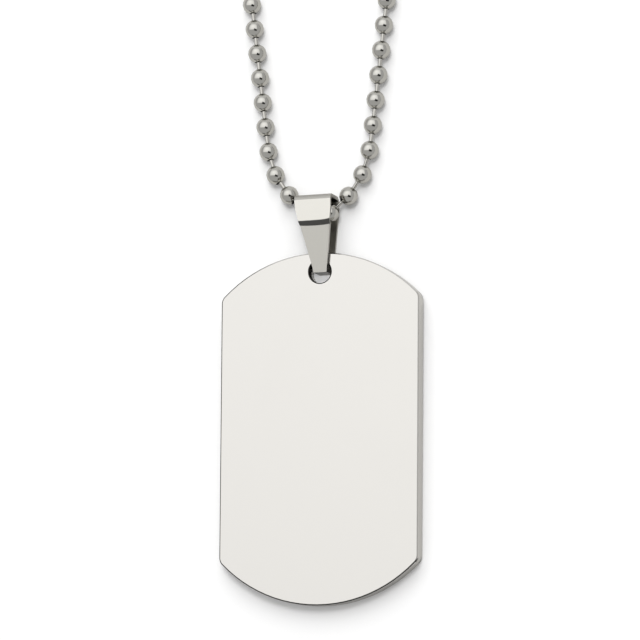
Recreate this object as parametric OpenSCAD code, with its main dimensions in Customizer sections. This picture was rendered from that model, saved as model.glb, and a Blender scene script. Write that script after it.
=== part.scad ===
// Polished identification dog tag on its ball chain, lying flat on a surface.
// Millimetres. Z = 0 is the surface, +Y runs up the necklace from the tag to the clasp,
// and the origin lies on the bail's flat back, half way along it, on the tag's own middle line.

/* [Tag] */
// Width across the two straight sides
tag_w = 28; // [22:0.5:34]
// Height over the two curved ends
tag_h = 48; // [42:0.5:60]
// Thickness of the plate
tag_t = 2.4; // [1.2:0.1:2.8]
// Radius of the curved top and bottom ends
tag_end_r = 19.2; // [17.5:0.1:30]
// Radius of the four corners where side and end meet
tag_corner_r = 1.2; // [0.4:0.1:3]
// Diameter of the hole that the bail goes through
hole_d = 3.1; // [2.7:0.1:4]
// Metal left between the hole and the top edge
hole_web = 1.05; // [0.8:0.05:1.6]

/* [Bail] */
// Thickness of the folded strip
strip_t = 0.5; // [0.35:0.05:0.65]
// Length from the tip in the hole to the top bend
bail_l = 10.95; // [10:0.05:14]
// Width of the strip at the tip
bail_tip_w = 1.6; // [1.2:0.1:1.9]
// Width of the strip at the shoulder, near the top bend
bail_shoulder_w = 5.0; // [4:0.1:5.6]
// Width of the strip across the top bend
bail_top_w = 5.2; // [4.4:0.1:5.4]
// Distance from the top bend down to the shoulder
shoulder_drop = 2.05; // [1.6:0.05:3]
// Distance from the top bend down to the foot of the step in the front leg
loop_l = 4.45; // [4.2:0.05:5.2]
// Slope of the step, from the surface
step_slope = 55; // [40:1:75]
// Bend radius at the top, on the middle of the strip
top_bend_r = 0.65; // [0.45:0.05:1.1]
// Bend radius at the tip and the step, on the middle of the strip
small_bend_r = 0.4; // [0.36:0.02:0.6]
// How far the bail leans to the left about the hole, in degrees
bail_lean = 5; // [0:0.5:8]
// How far the tip sits below the hole's centre
tip_drop = 0.1; // [0:0.05:0.4]

/* [Chain] */
// Diameter of one hollow ball
ball_d = 2.6; // [2.2:0.05:2.8]
// Wall of a hollow ball
ball_wall = 0.25; // [0.15:0.05:0.5]
// Distance from one ball's centre to the next
ball_pitch = 3.48; // [3.4:0.02:4]
// Number of balls in the whole loop, an even number
ball_count = 174; // [120:2:180]
// Diameter of the pins that join the balls
pin_d = 0.55; // [0.4:0.05:0.7]
// Spare height over a ball inside the bail
bail_room = 0.75; // [0.6:0.05:1.4]
// Spare length between the upper ball inside the bail and the top bend
top_room = 0.25; // [0.1:0.05:0.5]
// Turn of the link inside the bail, in degrees
middle_turn = -8; // [-12:1:0]
// Turn of the whole loop about the bail, in degrees
loop_turn = 0.6; // [-2:0.1:2]
// Angle of each straight strand from the loop's middle line, in degrees
fan = 6.6; // [6.2:0.1:8]

/* [Clasp] */
// Wall of the sleeve
clasp_wall = 0.3; // [0.2:0.05:0.5]
// Distance between the two end balls inside the sleeve
clasp_span = 4.2; // [3.4:0.1:7]

/* [Clearances] */
// Gap between the tag and the strip that it lies on, and between the tag and the front leg
seat_gap = 0.1; // [0.05:0.01:0.15]
// Gap between the balls in the bail and the strip that they lie on
ball_gap = 0.05; // [0.02:0.01:0.1]
// Gap round a pin in a ball's hole
bore_gap = 0.12; // [0.08:0.01:0.2]
// Gap round an end ball in the sleeve
clasp_gap = 0.1; // [0.05:0.01:0.2]
// Gap round an end pin in the sleeve's slots
slot_gap = 0.35; // [0.3:0.05:0.5]

/* [Hidden] */

curve_fn = 96;
ball_fn = 16;
bend_steps = 8;
thread_sides = 6;

// Share of the gap in a ball's hole that the chain's bend may take up
pole_share = 0.7;

// Angles from the loop's middle line of the links that leave the bail, chosen by hand
bend_headings = [47, 34.5, 17, 7.5];

// Places on the tag, measured from the hole's centre
hole_r = hole_d / 2;
tag_top = hole_r + hole_web;
tag_bottom = tag_top - tag_h;

// Centre of a rounded corner, measured from the centre of the end's curve
corner_x = tag_w / 2 - tag_corner_r;
corner_up = sqrt(pow(tag_end_r - tag_corner_r, 2) - pow(corner_x, 2));

// The tag's top lies on the bail's back leg and its bottom edge on the surface
tag_tilt = atan((strip_t + seat_gap) / (tag_h - hole_web));
tag_front_z = tag_h * sin(tag_tilt) + tag_t * cos(tag_tilt);

// Bail: heights of the middle of the strip, and how far it reaches along the tag
half_t = strip_t / 2;
leg_z = tag_front_z + seat_gap + half_t;
loop_z = strip_t + ball_gap + ball_d + bail_room + half_t;
step_run = (loop_z - leg_z) / tan(step_slope);
hole_y = tip_drop - bail_l / 2;
step_l = bail_l - loop_l;

// Balls: radii and heights of their centres
ball_r = ball_d / 2;
bore_r = pin_d / 2 + bore_gap;
bail_ball_z = strip_t + ball_gap + ball_r;
clasp_r = ball_r + clasp_gap + clasp_wall;
clasp_slot_r = pin_d / 2 + slot_gap;

// Middle of the link inside the bail, on the bail's own middle line
ball_rise = ball_pitch / 2 * sin(abs(middle_turn + loop_turn - bail_lean));
middle = along_bail(bail_l - strip_t - top_room - ball_r - ball_rise);

// Links of one strand, from the ball inside the bail to the end ball in the clasp: first the
// bends at the bail, then straight ones, then a round bend that meets the clasp square
side_links = ball_count / 2 - 1;
far_links = side_links - len(bend_headings);
near_x = ball_pitch / 2 * cos(middle_turn)
    + total([for (k = [0 : len(bend_headings) - 1]) link_run(k) * sin(bend_headings[k])]);
straight_links = straight_count(1);
headings = concat(
    bend_headings,
    [for (i = [1 : straight_links]) fan],
    arc_headings(straight_links, first_turn(0, 1, 40))
);

// Ball centres of both strands, and of the whole chain from end ball to end ball
right_balls = strand(1);
left_balls = strand(-1);
balls = concat([for (i = [side_links : -1 : 0]) left_balls[i]], right_balls);
last_ball = len(balls) - 1;

// Place on the bail's middle line at a distance from its tip
function along_bail(l) = [
    -(l - tip_drop) * sin(bail_lean),
    hole_y + (l - tip_drop) * cos(bail_lean)
];

// Height of the ball at a place along a strand
function ball_z(k) = k == 0 ? bail_ball_z : k == side_links ? clasp_r : ball_r;

// Length in plan of a link between two balls that may lie at different heights
function link_run(k) = sqrt(pow(ball_pitch, 2) - pow(ball_z(k + 1) - ball_z(k), 2));

function total(list) = list * [for (i = list) 1];

// Angles of the far bend's links after a number of straight ones: equal turns, of which the
// first is only a share of one
function arc_headings(straight, first) =
    let (n = far_links - straight)
    [for (i = [0 : n - 1]) fan - (90 + fan) * (i + first) / (n - 1 + first)];

// Sideways place of the end ball, which is half the clasp's span once the loop closes
function end_x(straight, first) =
    near_x
    + straight * ball_pitch * sin(fan)
    + ball_pitch * total([for (a = arc_headings(straight, first)) sin(a)]);

// Number of straight links past which the loop would close too wide
function straight_count(n) = end_x(n + 1, 1) > clasp_span / 2 ? n : straight_count(n + 1);

// Share of the first turn that closes the loop, found by halving
function first_turn(low, high, steps) =
    let (mid = (low + high) / 2)
    steps == 0 ? mid
    : end_x(straight_links, mid) > clasp_span / 2 ? first_turn(mid, high, steps - 1)
    : first_turn(low, mid, steps - 1);

function turned(p, a) = [p[0] * cos(a) - p[1] * sin(a), p[0] * sin(a) + p[1] * cos(a)];

// Ball centres of one strand, side 1 to the right and -1 to the left
function strand(side) = [
    for (
        k = 0, p = turned([side * ball_pitch / 2, 0], middle_turn);
        k <= side_links;
        p = k < side_links ? p + link_run(k) * [side * sin(headings[k]), cos(headings[k])] : p,
        k = k + 1
    )
    let (q = middle + turned(p, loop_turn)) [q[0], q[1], ball_z(k)]
];

function unit(v) = v / norm(v);

// Points of a strip's edge at a distance from its middle line, with round bends:
// corners holds the middle line's corners, radii the bend radius at each
function strip_edge(corners, radii, away) = [
    for (i = [0 : len(corners) - 1])
    let (
        n = len(corners),
        before = unit(corners[i] - corners[(i + n - 1) % n]),
        after = unit(corners[(i + 1) % n] - corners[i]),
        turn = asin(before[0] * after[1] - before[1] * after[0]),
        side = sign(turn),
        start = corners[i] - before * radii[i] * tan(abs(turn) / 2),
        centre = start + side * radii[i] * [-before[1], before[0]],
        reach = radii[i] + side * away
    )
    for (step = [0 : bend_steps])
    centre + reach * side * turned([before[1], -before[0]], turn * step / bend_steps)
];

// One curved end of the tag's outline, measured from the centre of the end's curve
module tag_end() {
    corner = [corner_x, corner_up];
    difference() {
        intersection() {
            circle(r = tag_end_r, $fn = curve_fn);
            translate([-tag_w / 2, corner_up - tag_corner_r]) square([tag_w, tag_end_r]);
        }
        for (side = [0, 1]) mirror([side, 0]) difference() {
            polygon([
                corner,
                corner + [2 * tag_corner_r, 0],
                corner + [2 * tag_corner_r, 2 * tag_corner_r],
                unit(corner) * (tag_end_r + tag_corner_r)
            ]);
            translate(corner) circle(r = tag_corner_r, $fn = curve_fn);
        }
    }
}

// Flat outline of the tag, with the hole's centre at the origin
module tag_outline() {
    translate([0, tag_top - tag_end_r]) tag_end();
    translate([0, tag_bottom + tag_end_r]) mirror([0, 1]) tag_end();
    translate([-tag_w / 2, tag_bottom + tag_end_r - corner_up])
        square([tag_w, tag_h - 2 * (tag_end_r - corner_up)]);
}

module tag() {
    color("#E9E7E4")
        translate([0, hole_y + tag_bottom, 0])
        rotate([tag_tilt, 0, 0])
        translate([0, -tag_bottom, 0])
        difference() {
            linear_extrude(height = tag_t) tag_outline();
            translate([0, 0, -1]) cylinder(h = tag_t + 2, r = hole_r, $fn = curve_fn);
        }
}

// Side view of the folded strip: one closed band from the tip round to the tip
module bail_profile() {
    corners = [
        [half_t, half_t],
        [bail_l - half_t, half_t],
        [bail_l - half_t, loop_z],
        [step_l + step_run, loop_z],
        [step_l, leg_z],
        [half_t, leg_z]
    ];
    radii = [small_bend_r, top_bend_r, top_bend_r, small_bend_r, small_bend_r, small_bend_r];
    difference() {
        polygon(strip_edge(corners, radii, half_t));
        polygon(strip_edge(corners, radii, -half_t));
    }
}

// Front view of the folded strip
module bail_outline() {
    polygon([
        [-bail_tip_w / 2, 0],
        [bail_tip_w / 2, 0],
        [bail_shoulder_w / 2, bail_l - shoulder_drop],
        [bail_top_w / 2, bail_l],
        [-bail_top_w / 2, bail_l],
        [-bail_shoulder_w / 2, bail_l - shoulder_drop]
    ]);
}

module bail() {
    widest = max(bail_top_w, bail_shoulder_w) + 2;
    color("#CFCCC6")
        translate([0, hole_y, 0])
        rotate([0, 0, bail_lean])
        translate([0, -tip_drop, 0])
        intersection() {
            rotate([90, 0, 90])
                translate([0, 0, -widest / 2])
                linear_extrude(height = widest) bail_profile();
            translate([0, 0, -1]) linear_extrude(height = loop_z + half_t + 2) bail_outline();
        }
}

// Turns a shape's Z axis to a direction
module aim(d) {
    rotate([0, acos(d[2] / norm(d)), atan2(d[1], d[0])]) children();
}

// Hollow ball with a hole at each pole
module pierced_shell() {
    rotate_extrude($fn = ball_fn) difference() {
        circle(r = ball_r, $fn = ball_fn);
        circle(r = ball_r - ball_wall, $fn = ball_fn);
        translate([-ball_d, -ball_d]) square([ball_d + bore_r, 2 * ball_d]);
    }
}

// Hollow ball with a hole towards each of two directions
module drilled_shell(before, after, sideways) {
    difference() {
        rotate([0, 0, sideways]) sphere(r = ball_r, $fn = ball_fn);
        rotate([0, 0, sideways]) sphere(r = ball_r - ball_wall, $fn = ball_fn);
        aim(before) cylinder(h = ball_d, r = bore_r, $fn = ball_fn);
        aim(after) cylinder(h = ball_d, r = bore_r, $fn = ball_fn);
    }
}

// One ball of the chain: holes at its poles serve until the chain bends too much at it
module chain_ball(k) {
    before = unit(k > 0 ? balls[k - 1] - balls[k] : balls[k] - balls[k + 1]);
    after = unit(k < last_ball ? balls[k + 1] - balls[k] : balls[k] - balls[k - 1]);
    along = after - before;
    wander = ball_r * norm(after + before) / 2;
    translate(balls[k])
        if (wander < pole_share * bore_gap)
            aim(along) pierced_shell();
        else
            drilled_shell(before, after, atan2(along[1], along[0]) + 90);
}

module chain_balls() {
    color("#B9B6B0") for (k = [0 : last_ball]) chain_ball(k);
}

// One thread through every ball, from end ball to end ball, in place of the pins
module chain_thread() {
    n = thread_sides;
    rings = [
        for (k = [0 : last_ball])
        let (
            along = unit(balls[min(k + 1, last_ball)] - balls[max(k - 1, 0)]),
            across = unit(cross([0, 0, 1], along)),
            up = cross(along, across)
        )
        for (i = [0 : n - 1])
        balls[k] + pin_d / 2 * (across * cos(i * 360 / n) + up * sin(i * 360 / n))
    ];
    sides = [
        for (k = [0 : last_ball - 1], i = [0 : n - 1])
        let (a = k * n + i, b = k * n + (i + 1) % n)
        [a, a + n, b + n, b]
    ];
    caps = [
        [for (i = [0 : n - 1]) i],
        [for (i = [n - 1 : -1 : 0]) last_ball * n + i]
    ];
    color("#A8A6A0") polyhedron(points = rings, faces = concat(sides, caps));
}

// Sleeve that holds the two end balls, slotted along its top and down both end walls
module clasp() {
    left_end = balls[0];
    right_end = balls[last_ball];
    middle_point = (left_end + right_end) / 2;
    turn = atan2(right_end[1] - left_end[1], right_end[0] - left_end[0]);
    inside_l = clasp_span + 2 * (ball_r + clasp_gap);
    outside_l = inside_l + 2 * clasp_wall;
    color("#B9B6B0")
        translate(middle_point)
        rotate([0, 0, turn])
        difference() {
            rotate([0, 90, 0]) cylinder(h = outside_l, r = clasp_r, center = true, $fn = curve_fn);
            rotate([0, 90, 0])
                cylinder(h = inside_l, r = clasp_r - clasp_wall, center = true, $fn = curve_fn);
            translate([0, 0, clasp_r])
                cube([outside_l + 2, 2 * clasp_slot_r, 2 * clasp_r], center = true);
            rotate([0, 90, 0])
                cylinder(h = outside_l + 2, r = clasp_slot_r, center = true, $fn = curve_fn);
            cylinder(h = clasp_r + 1, r = ball_r + clasp_gap, $fn = curve_fn);
        }
}

tag();
bail();
chain_balls();
chain_thread();
clasp();
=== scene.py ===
import math

import bpy
from mathutils import Matrix, Vector


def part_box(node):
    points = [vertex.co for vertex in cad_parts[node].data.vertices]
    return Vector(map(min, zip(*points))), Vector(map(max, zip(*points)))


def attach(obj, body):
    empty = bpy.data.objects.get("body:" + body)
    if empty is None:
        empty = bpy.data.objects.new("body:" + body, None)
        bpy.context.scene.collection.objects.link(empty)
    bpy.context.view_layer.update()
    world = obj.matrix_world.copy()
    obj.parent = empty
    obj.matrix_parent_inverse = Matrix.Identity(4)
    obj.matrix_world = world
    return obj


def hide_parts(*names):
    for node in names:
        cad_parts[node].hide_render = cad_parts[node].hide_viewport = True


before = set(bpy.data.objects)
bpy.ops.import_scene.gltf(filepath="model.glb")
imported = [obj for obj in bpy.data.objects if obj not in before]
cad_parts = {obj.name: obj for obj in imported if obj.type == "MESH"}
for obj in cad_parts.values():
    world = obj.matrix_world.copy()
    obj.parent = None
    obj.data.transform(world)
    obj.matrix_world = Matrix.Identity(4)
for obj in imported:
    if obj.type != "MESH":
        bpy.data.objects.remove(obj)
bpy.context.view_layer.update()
mm = 0.001


# Small helpers


def linearColour(hexColour):
    # sRGB hex to the linear RGBA that the shaders take
    channels = [int(hexColour[i : i + 2], 16) / 255 for i in (1, 3, 5)]
    return tuple(c / 12.92 if c <= 0.04045 else ((c + 0.055) / 1.055) ** 2.4 for c in channels) + (1.0,)


def deselectAll():
    if bpy.context.object and bpy.context.object.mode != "OBJECT":
        bpy.ops.object.mode_set(mode="OBJECT")
    bpy.ops.object.select_all(action="DESELECT")


def makeActive(obj):
    deselectAll()
    obj.select_set(True)
    bpy.context.view_layer.objects.active = obj


def startEditing(obj):
    makeActive(obj)
    bpy.ops.object.mode_set(mode="EDIT")
    bpy.ops.mesh.select_mode(type="VERT")
    bpy.ops.mesh.select_all(action="DESELECT")


def selectVertices(obj, test):
    # picks vertices by their place, from inside edit mode
    bpy.ops.mesh.select_mode(type="VERT")
    bpy.ops.mesh.select_all(action="DESELECT")
    bpy.ops.object.mode_set(mode="OBJECT")
    for vertex in obj.data.vertices:
        vertex.select = test(vertex.co)
    bpy.ops.object.mode_set(mode="EDIT")


def applyModifiers(obj):
    makeActive(obj)
    for modifier in list(obj.modifiers):
        bpy.ops.object.modifier_apply(modifier=modifier.name)


def settleMesh(obj):
    # moves the object's place and turn into its mesh
    makeActive(obj)
    bpy.ops.object.transform_apply(location=True, rotation=True, scale=True)


def shadeSmooth(obj, degrees):
    makeActive(obj)
    bpy.ops.object.shade_smooth_by_angle(angle=math.radians(degrees))


def joinPieces(parts, name):
    deselectAll()
    for part in parts:
        part.select_set(True)
    bpy.context.view_layer.objects.active = parts[0]
    bpy.ops.object.join()
    whole = bpy.context.object
    whole.name = name
    whole.data.name = name
    settleMesh(whole)
    return whole


def finishPiece(obj, material, slotName, *nodes):
    obj.data.materials.clear()
    obj.data.materials.append(material)
    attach(obj, "root")
    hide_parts(*nodes)
    print("made", obj.name, len(obj.data.polygons), "faces")


# Materials


def addNode(tree, kind, settings=None, links=None):
    # settings: input name or index to value, or a node property; links: input to (node, output)
    node = tree.nodes.new(kind)
    for key, value in (settings or {}).items():
        if isinstance(key, int) or key in node.inputs:
            node.inputs[key].default_value = value
        else:
            setattr(node, key, value)
    for key, (source, output) in (links or {}).items():
        tree.links.new(source.outputs[output], node.inputs[key])
    return node


def steelMaterial(name, finish):
    # Stainless steel: a warm grey metal, whose gloss comes from how it was polished
    material = bpy.data.materials.new(name)
    material.use_nodes = True
    tree = material.node_tree
    tree.nodes.clear()
    place = addNode(tree, "ShaderNodeTexCoord")

    # Haze: broad soft patches where the wheel or a cloth left more or less gloss
    haze = addNode(
        tree,
        "ShaderNodeTexNoise",
        {"Scale": 1 / (finish["hazeSize"] * mm), "Detail": 3.0, "Roughness": 0.55},
        {"Vector": (place, "Object")},
    )
    smoothest, roughest = finish["roughness"]
    roughness = addNode(
        tree,
        "ShaderNodeMapRange",
        {"From Min": 0.3, "From Max": 0.7, "To Min": smoothest, "To Max": roughest},
        {"Value": (haze, "Fac")},
    )

    # Lines: what the last polish leaves, drawn far apart enough to show
    stretch = addNode(
        tree,
        "ShaderNodeMapping",
        {"Scale": tuple(1 / (step * mm) for step in finish["lineSize"])},
        {"Vector": (place, "Object")},
    )
    lines = addNode(
        tree,
        "ShaderNodeTexNoise",
        {"Scale": 1.0, "Detail": 4.0, "Roughness": 0.6},
        {"Vector": (stretch, "Vector")},
    )
    bump = addNode(
        tree,
        "ShaderNodeBump",
        {"Strength": finish["lineStrength"], "Distance": finish["lineDepth"] * mm},
        {"Height": (lines, "Fac")},
    )

    # Colour: two close greys
    darker, lighter = (linearColour(colour) for colour in finish["colours"])
    greys = addNode(tree, "ShaderNodeMix", {"data_type": "RGBA", 6: darker, 7: lighter}, {0: (haze, "Fac")})
    tone, gloss = (greys, 2), (roughness, "Result")

    # Satin: the part below a height was only pressed, and mirrors less
    if "satin" in finish:
        satin = finish["satin"]
        split = addNode(tree, "ShaderNodeSeparateXYZ", {}, {"Vector": (place, "Object")})
        height = addNode(
            tree,
            "ShaderNodeMapRange",
            {"From Min": satin["height"][0] * mm, "From Max": satin["height"][1] * mm},
            {"Value": (split, "Z")},
        )
        mixedTone = addNode(
            tree,
            "ShaderNodeMix",
            {"data_type": "RGBA", 6: linearColour(satin["colour"])},
            {0: (height, "Result"), 7: tone},
        )
        mixedGloss = addNode(
            tree,
            "ShaderNodeMix",
            {"data_type": "FLOAT", 2: satin["roughness"]},
            {0: (height, "Result"), 3: gloss},
        )
        tone, gloss = (mixedTone, 2), (mixedGloss, 0)

    # Painted shade: facets that slope to the front or left get a darker grey, a painted reflection of the
    # dark room in front, which outlines the form
    if "paintedFacetShade" in finish:
        paintedFacetShadeSettings = finish["paintedFacetShade"]
        facing = addNode(tree, "ShaderNodeSeparateXYZ", {}, {"Vector": (place, "Normal")})

        def facetMask(axis, start, end):
            limits = {"From Min": start, "From Max": end}
            return addNode(tree, "ShaderNodeMapRange", limits, {"Value": (facing, axis)})

        slant = (-0.2, -0.35)  # where the darkening starts, and where it is full
        front = facetMask("Y", *slant)
        leftward = facetMask("X", *slant)
        upward = facetMask("Z", *paintedFacetShadeSettings["upward"])
        sloping = addNode(
            tree,
            "ShaderNodeMath",
            {"operation": "MAXIMUM"},
            {0: (front, "Result"), 1: (leftward, "Result")},
        )
        paintedFacetShade = addNode(
            tree,
            "ShaderNodeMath",
            {"operation": "MULTIPLY"},
            {0: (sloping, "Value"), 1: (upward, "Result")},
        )
        darkened = addNode(
            tree,
            "ShaderNodeMix",
            {"data_type": "RGBA", 7: linearColour(paintedFacetShadeSettings["colour"])},
            {0: (paintedFacetShade, "Value"), 6: tone},
        )
        tone = (darkened, 2)

    surface = addNode(
        tree,
        "ShaderNodeBsdfPrincipled",
        {"Metallic": 1.0},
        {"Base Color": tone, "Roughness": gloss, "Normal": (bump, "Normal")},
    )
    addNode(tree, "ShaderNodeOutputMaterial", {}, {"Surface": (surface, "BSDF")})
    return material


# Polished plate, as off a mop: near mirror, faint haze
tagFinish = {
    "colours": ("#CCCAC6", "#CFCDC9"),
    # Painted shade: edge facets facing the front or left are painted dark, a painted reflection of the dark
    # room in front
    "paintedFacetShade": {"colour": "#3C3B3A", "upward": (0.15, 0.4)},
    "roughness": (0.06, 0.12),
    "hazeSize": 9.0,
    "lineSize": (0.25, 6.0, 0.25),
    "lineStrength": 0.03,
    "lineDepth": 0.01,
}

# Pressed strip, its upper panel polished and the rest left satin
bailFinish = {
    "colours": ("#C5C3BD", "#C9C7C1"),
    "satin": {"height": (4.0, 4.2), "colour": "#B1AFA9", "roughness": 0.3},
    # Painted shade: the step, the tip and other facets facing the front or left are painted dark, a painted
    # reflection of the dark room in front
    "paintedFacetShade": {"colour": "#5A5957", "upward": (-0.3, -0.1)},
    "roughness": (0.07, 0.14),
    "hazeSize": 2.5,
    "lineSize": (0.2, 2.0, 0.2),
    "lineStrength": 0.04,
    "lineDepth": 0.01,
}

# Balls rolled from thin strip and tumbled
ballFinish = {
    "colours": ("#BBBAB4", "#C2C0BB"),
    "roughness": (0.05, 0.1),
    "hazeSize": 1.2,
    "lineSize": (0.4, 0.4, 0.4),
    "lineStrength": 0.12,
    "lineDepth": 0.015,
}

# Sleeve pressed from sheet and tumbled with the balls
claspFinish = {
    "colours": ("#B9B8B2", "#C0BEB9"),
    "roughness": (0.1, 0.18),
    "hazeSize": 2.0,
    "lineSize": (1.5, 0.3, 0.3),
    "lineStrength": 0.1,
    "lineDepth": 0.012,
}

# Drawn wire
pinFinish = {
    "colours": ("#B6B4AF", "#BFBDB8"),
    "roughness": (0.12, 0.2),
    "hazeSize": 0.8,
    "lineSize": (0.2, 0.2, 0.2),
    "lineStrength": 0.1,
    "lineDepth": 0.01,
}


# Tag

tagSettings = {
    "width": 28.0,
    "height": 48.0,
    "thickness": 2.4,
    "endRadius": 19.2,
    "endSteps": 96,  # sides of the circle that the curved ends are cut from
    "cornerRadius": 1.2,
    "cornerSteps": 6,
    "holeDiameter": 3.1,
    "holeWeb": 1.05,  # metal between the hole and the top edge
    "holeSteps": 64,
    "edgeWidth": 0.22,
    "edgeFlat": 0.8,  # height of the polished-off edge, as a part of its width
    "edgeProfile": 0.27,  # 0.25 would be a flat edge, 0.5 a round one
    "edgeSteps": 5,
}


def makeTag():
    s = tagSettings
    halfWidth = s["width"] / 2 * mm
    low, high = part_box("tag")

    # A disk, cut to the tag's width and pulled out to its height
    deselectAll()
    bpy.ops.mesh.primitive_circle_add(
        vertices=s["endSteps"], radius=s["endRadius"] * mm, fill_type="NGON", location=(0, 0, 0)
    )
    tag = bpy.context.object
    tag.name = "tagPlate"
    startEditing(tag)
    for side in (1, -1):
        bpy.ops.mesh.select_all(action="SELECT")
        bpy.ops.mesh.bisect(
            plane_co=(side * halfWidth, 0, 0), plane_no=(side, 0, 0), clear_outer=True, threshold=1e-7
        )
    selectVertices(tag, lambda co: co.y < 0)
    bpy.ops.transform.translate(value=(0, (2 * s["endRadius"] - s["height"]) * mm, 0))

    # The four corners
    turn = math.pi / 2 - math.asin(s["width"] / 2 / s["endRadius"])
    selectVertices(tag, lambda co: abs(abs(co.x) - halfWidth) < 0.01 * mm)
    bpy.ops.mesh.bevel(
        offset=s["cornerRadius"] * mm * math.tan(turn / 2),
        segments=s["cornerSteps"],
        profile=0.5,
        affect="VERTICES",
    )

    # Thickness
    bpy.ops.mesh.select_all(action="SELECT")
    bpy.ops.mesh.extrude_region_move(TRANSFORM_OT_translate={"value": (0, 0, s["thickness"] * mm)})
    bpy.ops.mesh.select_all(action="SELECT")
    bpy.ops.mesh.normals_make_consistent(inside=False)
    bpy.ops.object.mode_set(mode="OBJECT")

    # The hole
    top = s["endRadius"] * mm
    holeRadius = s["holeDiameter"] / 2 * mm
    deselectAll()
    bpy.ops.mesh.primitive_cylinder_add(
        vertices=s["holeSteps"],
        radius=holeRadius,
        depth=3 * s["thickness"] * mm,
        location=(0, top - s["holeWeb"] * mm - holeRadius, s["thickness"] / 2 * mm),
    )
    drill = bpy.context.object
    cut = tag.modifiers.new("Hole", "BOOLEAN")
    cut.operation = "DIFFERENCE"
    cut.object = drill
    applyModifiers(tag)
    bpy.data.objects.remove(drill)

    # Edges polished off, nearly flat
    edges = tag.modifiers.new("Edges", "BEVEL")
    edges.width = s["edgeWidth"] * mm
    edges.segments = s["edgeSteps"]
    edges.profile = s["edgeProfile"]
    edges.limit_method = "ANGLE"
    edges.angle_limit = math.radians(50)
    applyModifiers(tag)
    face = s["thickness"] * mm
    for vertex in tag.data.vertices:
        if vertex.co.z > face - 1.01 * s["edgeWidth"] * mm:
            vertex.co.z = face - (face - vertex.co.z) * s["edgeFlat"]
    shadeSmooth(tag, 60)
    tag.modifiers.new("Shading", "WEIGHTED_NORMAL").keep_sharp = True
    applyModifiers(tag)

    # Laid down: the top on the bail's back leg, the bottom edge on the floor
    rise = (high.z - low.z) / mm - s["thickness"]
    tilt = math.asin(rise / s["height"])
    bottom = (s["height"] - s["endRadius"]) * mm
    tag.data.transform(Matrix.Translation((0, bottom, 0)))
    tag.rotation_euler = (tilt, 0, 0)
    tag.location = (0, low.y + s["thickness"] * mm * math.sin(tilt), 0)
    settleMesh(tag)
    finishPiece(tag, steelMaterial("polishedStainlessPlate", tagFinish), "tag_steel", "tag")


# Bail

bailSettings = {
    "strip": 0.5,
    "length": 10.8,
    "tipWidth": 1.76,
    "shoulderWidth": 5.0,
    "topWidth": 5.2,
    "shoulderDrop": 2.05,
    "loopLength": 4.3,
    "stepSlope": 33,
    "foldDrop": 0.55,  # height that the top fold takes, as much as its run
    "foldSlope": 30,
    "foldBend": 0.35,  # bend from the end wall into the fold
    "panelBend": 0.12,  # and from the fold into the upper panel
    "footBend": 0.15,
    "browBend": 0.1,
    "tipBend": 0.4,
    "bendSteps": 6,
    "columns": 12,
    "spareWidth": 1.2,  # the strip is made this many times as wide, then cut to its taper
    "lean": 6.0,
    "skew": 4.5,  # degrees that its cross lines turn back from the lean
    "slideRight": 0.24,  # from the middle of the hole
    "slideDown": 0.18,
    "tipDrop": 0.1,
    "legRise": 0.36,  # the front leg climbs this much from its tip to the step
    "panelDip": 0.1,  # the upper panel falls this much from the step to the fold
    "footRise": 0.15,  # how far the step's foot curves up at the sides
    "browRise": 0.25,  # how far its brow curves up at the right
    "edgeRound": 0.07,
    "edgeSteps": 2,
    "seatGap": 0.1,
}


def extendStrip(along, up):
    bpy.ops.mesh.extrude_edges_move(TRANSFORM_OT_translate={"value": (0, along * mm, up * mm)})


def bendStrip(along, up, radius, start, turn):
    # spins the strip's open end; start is the way it runs, in degrees up from +Y, and turn is to the left
    side = 1 if turn > 0 else -1
    angle = math.radians(start)
    centre = (along - side * radius * math.sin(angle), up + side * radius * math.cos(angle))
    bpy.ops.mesh.spin(
        steps=bailSettings["bendSteps"],
        angle=-math.radians(turn),
        center=(0, centre[0] * mm, centre[1] * mm),
        axis=(1, 0, 0),
    )
    angle += math.radians(turn)
    return centre[0] + side * radius * math.sin(angle), centre[1] - side * radius * math.cos(angle)


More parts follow.
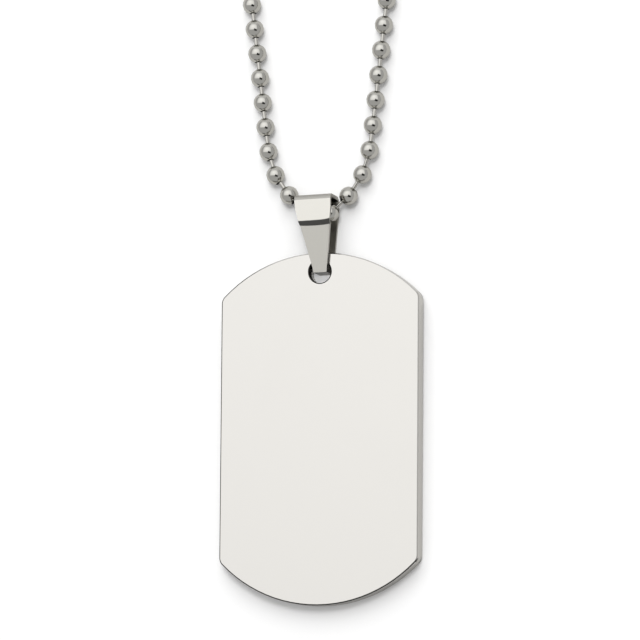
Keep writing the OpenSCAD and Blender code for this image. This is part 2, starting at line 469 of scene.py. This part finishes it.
def makeBail():
    s = bailSettings
    half = s["strip"] / 2
    tip, foot, brow = s["tipBend"], s["footBend"], s["browBend"]
    length = s["length"]
    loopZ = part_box("bail")[1].z / mm - half
    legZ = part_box("tag")[1].z / mm + s["seatGap"] + half
    footZ = legZ + s["legRise"]
    slope = math.radians(s["stepSlope"])
    footY = length - s["loopLength"] - foot * math.tan(slope / 2)
    nearEnd = half + tip
    endY = length - half

    # One edge across the strip, at the tip of the back leg
    deselectAll()
    width = s["topWidth"] * s["spareWidth"]
    bpy.ops.mesh.primitive_plane_add(size=width * mm, location=(0, (nearEnd - width / 2) * mm, half * mm))
    bail = bpy.context.object
    bail.name = "bailStrip"
    startEditing(bail)
    selectVertices(bail, lambda co: co.y < 0)
    bpy.ops.mesh.delete(type="VERT")
    bpy.ops.mesh.select_all(action="SELECT")
    bpy.ops.mesh.subdivide(number_cuts=s["columns"] - 1)

    # Up the back leg and round the top: a bend, a flat fold and a crisp bend into the panel
    bend = s["foldDrop"]
    extendStrip(endY - bend - nearEnd, 0)
    along, up = bendStrip(endY - bend, half, bend, 0, 90)
    fold = math.radians(s["foldSlope"])
    crisp, wide = s["panelBend"], s["foldBend"]
    foldLength = (bend - wide * math.cos(fold) - crisp * (1 - math.cos(fold))) / math.sin(fold)
    foldStart = loopZ - bend
    extendStrip(0, foldStart - up)
    along, up = bendStrip(along, foldStart, wide, 90, 90 - s["foldSlope"])
    extendStrip(-foldLength * math.cos(fold), foldLength * math.sin(fold))
    along -= foldLength * math.cos(fold)
    up += foldLength * math.sin(fold)
    along, up = bendStrip(along, up, crisp, 180 - s["foldSlope"], s["foldSlope"])

    # Down the panel, over the step and along the front leg to its tip
    drop = loopZ - footZ - (foot + brow) * (1 - math.cos(slope))
    browY = footY + (foot + brow) * math.sin(slope) + drop / math.tan(slope)
    extendStrip(browY - along, 0)
    along, up = bendStrip(browY, loopZ, brow, 180, s["stepSlope"])
    run = drop / math.tan(slope)
    extendStrip(-run, -drop)
    along, up = bendStrip(along - run, up - drop, foot, 180 + s["stepSlope"], -s["stepSlope"])
    extendStrip(half - along, legZ - up)

    # Sharply back through the hole and into the back leg
    extendStrip(0, nearEnd - legZ)
    bendStrip(half, nearEnd, tip, 270, 90)
    bpy.ops.mesh.select_all(action="SELECT")
    bpy.ops.mesh.remove_doubles(threshold=0.01 * mm)
    bpy.ops.mesh.normals_make_consistent(inside=False)
    bpy.ops.object.mode_set(mode="OBJECT")
    settleMesh(bail)

    # Curve the step's two edges, and let the panel fall towards the fold
    halfWidth = s["shoulderWidth"] / 2 * mm
    for vertex in bail.data.vertices:
        co = vertex.co
        if co.z > (legZ - half) * mm and (footY - 0.1) * mm < co.y < (browY + 0.1) * mm:
            across = min(abs(co.x) / halfWidth, 1)
            climb = (co.z / mm - footZ) / (loopZ - footZ)
            co.y += (1 - climb) * s["footRise"] * mm * across**2
            if co.x > 0:
                co.y += climb * s["browRise"] * mm * across**3
        if co.z > (loopZ - 2 * bend) * mm and co.y > browY * mm:
            co.z -= s["panelDip"] * mm * (co.y / mm - browY) / (endY - browY)
        co.y -= co.x * math.tan(math.radians(s["skew"]))

    # Taper it towards the tip
    outline = (
        (s["tipWidth"] / 2, 0),
        (s["shoulderWidth"] / 2, length - s["shoulderDrop"]),
        (s["topWidth"] / 2, length),
    )
    startEditing(bail)
    for side in (1, -1):
        for (nearX, nearY), (farX, farY) in zip(outline, outline[1:]):
            bpy.ops.mesh.select_all(action="SELECT")
            bpy.ops.mesh.bisect(
                plane_co=(side * nearX * mm, nearY * mm, 0),
                plane_no=Vector((side * (farY - nearY), nearX - farX, 0)).normalized(),
                clear_outer=True,
                threshold=1e-7,
            )
    bpy.ops.object.mode_set(mode="OBJECT")

    # Give it its thickness and soften the cut edges; the flats stay flat in the light
    shadeSmooth(bail, 50)
    thick = bail.modifiers.new("Thickness", "SOLIDIFY")
    thick.thickness = s["strip"] * mm
    thick.offset = 0
    thick.use_even_offset = True
    edges = bail.modifiers.new("Edges", "BEVEL")
    edges.width = s["edgeRound"] * mm
    edges.segments = s["edgeSteps"]
    edges.limit_method = "ANGLE"
    edges.angle_limit = math.radians(60)
    applyModifiers(bail)
    shadeSmooth(bail, 50)
    bail.modifiers.new("Shading", "WEIGHTED_NORMAL").keep_sharp = True
    applyModifiers(bail)

    # Set it in its place, leaning as it hangs
    lean = Matrix.Rotation(math.radians(s["lean"]), 4, "Z")
    middle = s["tipDrop"] - s["slideDown"] - length / 2  # the hole, from half way along the back leg
    place = Matrix.Translation((s["slideRight"] * mm, middle * mm, 0))
    bail.matrix_world = place @ lean @ Matrix.Translation((0, -s["tipDrop"] * mm, 0))
    settleMesh(bail)
    finishPiece(bail, steelMaterial("pressedSteelStrip", bailFinish), "bail_steel", "bail")


# Balls and pins


def chainCentres():
    # the centre of every ball, from end to end, read from the solids
    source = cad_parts["chain_balls"]
    copy = source.copy()
    copy.data = source.data.copy()
    copy.parent = None
    bpy.context.scene.collection.objects.link(copy)
    startEditing(copy)
    bpy.ops.mesh.select_all(action="SELECT")
    bpy.ops.mesh.remove_doubles(threshold=0.001 * mm)
    bpy.ops.mesh.separate(type="LOOSE")
    bpy.ops.object.mode_set(mode="OBJECT")
    centres = []
    for part in list(bpy.context.selected_objects):
        corners = [Vector(corner) for corner in part.bound_box]
        centres.append(sum(corners, Vector()) / len(corners))
        bpy.data.objects.remove(part)
    low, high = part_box("clasp")
    claspEnd = Vector((high.x, (low.y + high.y) / 2, high.z / 2))
    ordered = []
    here = claspEnd
    while centres:
        here = min(centres, key=lambda c: (c - here).length)
        centres.remove(here)
        ordered.append(here)
    return ordered


ballSettings = {
    "diameter": 2.6,
    "wall": 0.25,
    "segments": 12,
    "rings": 8,
}

pinSettings = {
    "diameter": 0.55,
    "sides": 8,
    "headDiameter": 0.95,
    "headLength": 0.3,
    "neckLength": 0.05,  # from the wire out to the head
    "reach": 0.25,  # wire inside a ball, before the head
}


def makeBall():
    s = ballSettings
    radius = s["diameter"] / 2 * mm
    deselectAll()
    bpy.ops.mesh.primitive_uv_sphere_add(segments=s["segments"], ring_count=s["rings"], radius=radius)
    ball = bpy.context.object
    startEditing(ball)
    selectVertices(ball, lambda co: abs(co.z) > radius * 0.999)
    bpy.ops.mesh.delete(type="VERT")
    firstRing = radius * math.cos(math.pi / s["rings"])
    for side in (1, -1):
        selectVertices(ball, lambda co: co.z * side > firstRing * 0.999)
        bpy.ops.mesh.extrude_edges_move(TRANSFORM_OT_translate={"value": (0, 0, -side * s["wall"] * mm)})
    bpy.ops.object.mode_set(mode="OBJECT")
    shadeSmooth(ball, 50)
    return ball


def makePin(length):
    s = pinSettings
    reach = length + 2 * s["reach"] * mm
    deselectAll()
    bpy.ops.mesh.primitive_cylinder_add(vertices=s["sides"], radius=s["diameter"] / 2 * mm, depth=reach)
    pin = bpy.context.object
    grow = s["headDiameter"] / s["diameter"]
    for side in (1, -1):
        neck = (0, 0, side * s["neckLength"] * mm)
        head = (0, 0, side * s["headLength"] * mm)
        startEditing(pin)
        selectVertices(pin, lambda co: co.z * side > reach * 0.49)
        bpy.ops.mesh.extrude_region_move(TRANSFORM_OT_translate={"value": neck})
        bpy.ops.transform.resize(value=(grow, grow, 1))
        bpy.ops.mesh.extrude_region_move(TRANSFORM_OT_translate={"value": head})
        bpy.ops.object.mode_set(mode="OBJECT")
    shadeSmooth(pin, 50)
    return pin


def copyAlong(model, place, direction):
    copy = model.copy()
    copy.data = model.data.copy()
    bpy.context.scene.collection.objects.link(copy)
    copy.matrix_world = Matrix.Translation(place) @ direction.to_track_quat("Z", "Y").to_matrix().to_4x4()
    return copy


def makeChain(centres):
    print("chain has", len(centres), "balls")
    ball = makeBall()
    balls = []
    for k, centre in enumerate(centres):
        before = centres[max(k - 1, 0)]
        after = centres[min(k + 1, len(centres) - 1)]
        balls.append(copyAlong(ball, centre, after - before))
    bpy.data.objects.remove(ball)
    chain = joinPieces(balls, "chainBalls")
    finishPiece(chain, steelMaterial("tumbledSteelBalls", ballFinish), "ball_steel", "chain_balls")

    pitch = (centres[1] - centres[0]).length
    inner = (ballSettings["diameter"] - 2 * ballSettings["wall"]) * mm
    pin = makePin(pitch - inner)
    pins = []
    for start, end in zip(centres, centres[1:]):
        pins.append(copyAlong(pin, (start + end) / 2, end - start))
    bpy.data.objects.remove(pin)
    links = joinPieces(pins, "chainPins")
    finishPiece(links, steelMaterial("drawnSteelPins", pinFinish), "pin_steel", "chain_thread")


# Clasp

claspSettings = {
    "wall": 0.3,
    "endGap": 0.1,  # from an end ball to the end wall
    "slotWidth": 1.25,
    "sides": 48,
    "edgeRound": 0.3,
    "lipRound": 0.06,
}


def makeClasp(centres):
    s = claspSettings
    low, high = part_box("clasp")
    first, last = centres[-1], centres[0]
    middle = (first + last) / 2
    radius = (high.z - low.z) / 2
    ballRadius = ballSettings["diameter"] / 2 * mm
    wall = s["wall"] * mm
    inside = (last - first).length + 2 * (ballRadius + s["endGap"] * mm)

    def addRod(radius, length, across):
        deselectAll()
        turn = (0, math.pi / 2, 0) if across else (0, 0, 0)
        bpy.ops.mesh.primitive_cylinder_add(vertices=s["sides"], radius=radius, depth=length, rotation=turn)
        rod = bpy.context.object
        settleMesh(rod)
        return rod

    # A closed can with rounded ends
    clasp = addRod(radius, inside + 2 * wall, True)
    clasp.name = "claspSleeve"
    ends = clasp.modifiers.new("Ends", "BEVEL")
    ends.width = s["edgeRound"] * mm
    ends.segments = 4
    ends.limit_method = "ANGLE"
    ends.angle_limit = math.radians(60)
    applyModifiers(clasp)

    # Hollowed, slotted along its top and through both end walls, with a round way in at the middle
    deselectAll()
    slotWidth = s["slotWidth"] * mm
    slotSize = (inside * 2, slotWidth, 2 * radius)
    bpy.ops.mesh.primitive_cube_add(size=1, location=(0, 0, radius), scale=slotSize)
    slot = bpy.context.object
    settleMesh(slot)
    wayIn = addRod(ballRadius + s["endGap"] * mm, radius * 2, False)
    wayIn.location.z = radius
    settleMesh(wayIn)
    cutters = [addRod(radius - wall, inside, True), slot, addRod(slotWidth / 2, inside * 2, True), wayIn]
    for cutter in cutters:
        cut = clasp.modifiers.new("Cut", "BOOLEAN")
        cut.operation = "DIFFERENCE"
        cut.object = cutter
        applyModifiers(clasp)
        bpy.data.objects.remove(cutter)
    lips = clasp.modifiers.new("Lips", "BEVEL")
    lips.width = s["lipRound"] * mm
    lips.segments = 2
    lips.limit_method = "ANGLE"
    lips.angle_limit = math.radians(60)
    lips.harden_normals = True
    applyModifiers(clasp)
    shadeSmooth(clasp, 30)

    along = last - first
    clasp.rotation_euler = (0, 0, math.atan2(along.y, along.x))
    clasp.location = (middle.x, middle.y, radius)
    settleMesh(clasp)
    finishPiece(clasp, steelMaterial("tumbledSteelSleeve", claspFinish), "clasp_steel", "clasp")


# Camera, floor and light

cameraSettings = {
    "aim": (-0.403, -11.81, 1.3),  # mm, what the middle of the picture shows
    "distance": 600,
    "lens": 247.8,
    "tipBack": 8.18,  # degrees
    "lean": 16.69,
    "roll": -1.73,
}


def makeCamera():
    s = cameraSettings
    data = bpy.data.cameras.new("camera")
    data.lens = s["lens"]
    data.sensor_width = 36
    data.clip_start = 0.01
    data.clip_end = 50
    camera = bpy.data.objects.new("camera", data)
    bpy.context.scene.collection.objects.link(camera)
    camera.rotation_mode = "ZYX"
    camera.rotation_euler = tuple(math.radians(s[key]) for key in ("tipBack", "lean", "roll"))
    back = camera.rotation_euler.to_matrix() @ Vector((0, 0, 1))
    camera.location = Vector(s["aim"]) * mm + back * s["distance"] * mm
    bpy.context.scene.camera = camera


# Places and sizes in mm
lightSettings = {
    "paper": "#F7F7F7",
    "mirroredPaper": "#D9D8D6",
    "paperSize": 6000,
    "mirrorLift": 0.002,  # keeps the two papers apart
    "surround": 0.56,  # evenly from all round, on the floor
    "keyPlace": (130, 240, 900),
    "keySize": 260,
    "keyGlow": 13,
    "backPlace": (0, 1000, 900),
    "backSize": 1200,
    "backGlow": 2.4,
    "holePlace": (-0.1, -6.15, 2.9),  # a small light that fills the tag's hole
    "holeSize": 1,
    "holeGlow": 13,
    "tentRadius": 2800,
    "tentGlow": 0.6,  # what the steel mirrors where there is no card
}

# Cards that only the steel mirrors: middle and size in mm, a turn in degrees, and how bright
cardSettings = {
    "softbox": {"middle": (-155, 450, 500), "size": (1270, 1000), "turn": (0, 0, 0), "glow": 1.66},
    "backPaper": {"middle": (0, 2300, 500), "size": (4000, 1000), "turn": (90, 0, 0), "glow": 0.85},
    "cameraShade": {"middle": (265, -115, 470), "size": (430, 230), "turn": (0, 0, -20), "glow": 0.02},
    "frontShade": {"middle": (-120, -1200, 100), "size": (1300, 200), "turn": (90, 0, 0), "glow": 0.05},
}

# The softbox has its glow at its lamp and fades evenly from there
softboxSettings = {
    "lamp": (-83, 324, 500),  # mm
    "edgeGlow": 0.95,
    "reach": 750,
}


def glowMaterial(name, glow, fade=None):
    material = bpy.data.materials.new(name)
    material.use_nodes = True
    material.cycles.emission_sampling = "NONE"
    tree = material.node_tree
    tree.nodes.clear()
    emission = addNode(tree, "ShaderNodeEmission", {"Strength": glow})
    addNode(tree, "ShaderNodeOutputMaterial", {}, {"Surface": (emission, "Emission")})
    if fade:
        place = addNode(tree, "ShaderNodeTexCoord")
        away = addNode(
            tree,
            "ShaderNodeVectorMath",
            {"operation": "DISTANCE", 1: [a * mm for a in fade["lamp"]]},
            {0: (place, "Object")},
        )
        strength = addNode(
            tree,
            "ShaderNodeMapRange",
            {"From Max": fade["reach"] * mm, "To Min": glow, "To Max": fade["edgeGlow"]},
            {"Value": (away, "Value")},
        )
        tree.links.new(strength.outputs["Result"], emission.inputs["Strength"])
    return material


def onlyMirrored(obj):
    # no camera sees it, and it neither lights nor shades the floor
    obj.visible_camera = False
    obj.visible_diffuse = False
    obj.visible_shadow = False


def addFloor(name, hexColour, height):
    deselectAll()
    size = lightSettings["paperSize"] * mm
    bpy.ops.mesh.primitive_plane_add(size=size, location=(0, 0, height * mm))
    floor = bpy.context.object
    floor.name = name
    paper = bpy.data.materials.new(name + "Paper")
    paper.use_nodes = True
    shader = paper.node_tree.nodes["Principled BSDF"]
    shader.inputs["Base Color"].default_value = linearColour(hexColour)
    shader.inputs["Roughness"].default_value = 0.9
    shader.inputs["Specular IOR Level"].default_value = 0.1
    floor.data.materials.append(paper)
    return floor


def addAreaLight(name, place, size, glow):
    data = bpy.data.lights.new(name, "AREA")
    data.size = size * mm
    data.energy = glow * math.pi * data.size**2
    light = bpy.data.objects.new(name, data)
    light.location = Vector(place) * mm
    light.visible_camera = False
    light.visible_glossy = False
    bpy.context.scene.collection.objects.link(light)
    return light


def makeStage():
    s = lightSettings
    # White paper, and the greyer paper that the steel mirrors in its place
    floor = addFloor("floor", s["paper"], 0)
    floor.visible_glossy = False
    onlyMirrored(addFloor("mirroredFloor", s["mirroredPaper"], s["mirrorLift"]))

    world = bpy.data.worlds.new("surround")
    world.use_nodes = True
    world.node_tree.nodes["Background"].inputs["Color"].default_value = (1, 1, 1, 1)
    world.node_tree.nodes["Background"].inputs["Strength"].default_value = s["surround"]
    world.cycles_visibility.glossy = False
    bpy.context.scene.world = world

    key = addAreaLight("key", s["keyPlace"], s["keySize"], s["keyGlow"])
    key.rotation_euler = key.location.to_track_quat("Z", "Y").to_euler()
    back = addAreaLight("back", s["backPlace"], s["backSize"], s["backGlow"])
    back.rotation_euler = back.location.to_track_quat("Z", "Y").to_euler()
    addAreaLight("holeFill", s["holePlace"], s["holeSize"], s["holeGlow"])

    deselectAll()
    bpy.ops.mesh.primitive_uv_sphere_add(segments=32, ring_count=16, radius=s["tentRadius"] * mm)
    tent = bpy.context.object
    tent.name = "tent"
    tent.data.materials.append(glowMaterial("tentGlow", s["tentGlow"]))
    onlyMirrored(tent)
    for name, card in cardSettings.items():
        deselectAll()
        bpy.ops.mesh.primitive_plane_add(size=1)
        plane = bpy.context.object
        plane.name = name
        plane.scale = (card["size"][0] * mm, card["size"][1] * mm, 1)
        plane.rotation_euler = [math.radians(a) for a in card["turn"]]
        plane.location = Vector(card["middle"]) * mm
        settleMesh(plane)
        fade = softboxSettings if name == "softbox" else None
        plane.data.materials.append(glowMaterial(name + "Glow", card["glow"], fade))
        onlyMirrored(plane)
    bpy.context.scene.view_settings.view_transform = "Standard"


makeCamera()
makeStage()
makeTag()
makeBail()
ballCentres = chainCentres()
makeChain(ballCentres)
makeClasp(ballCentres)
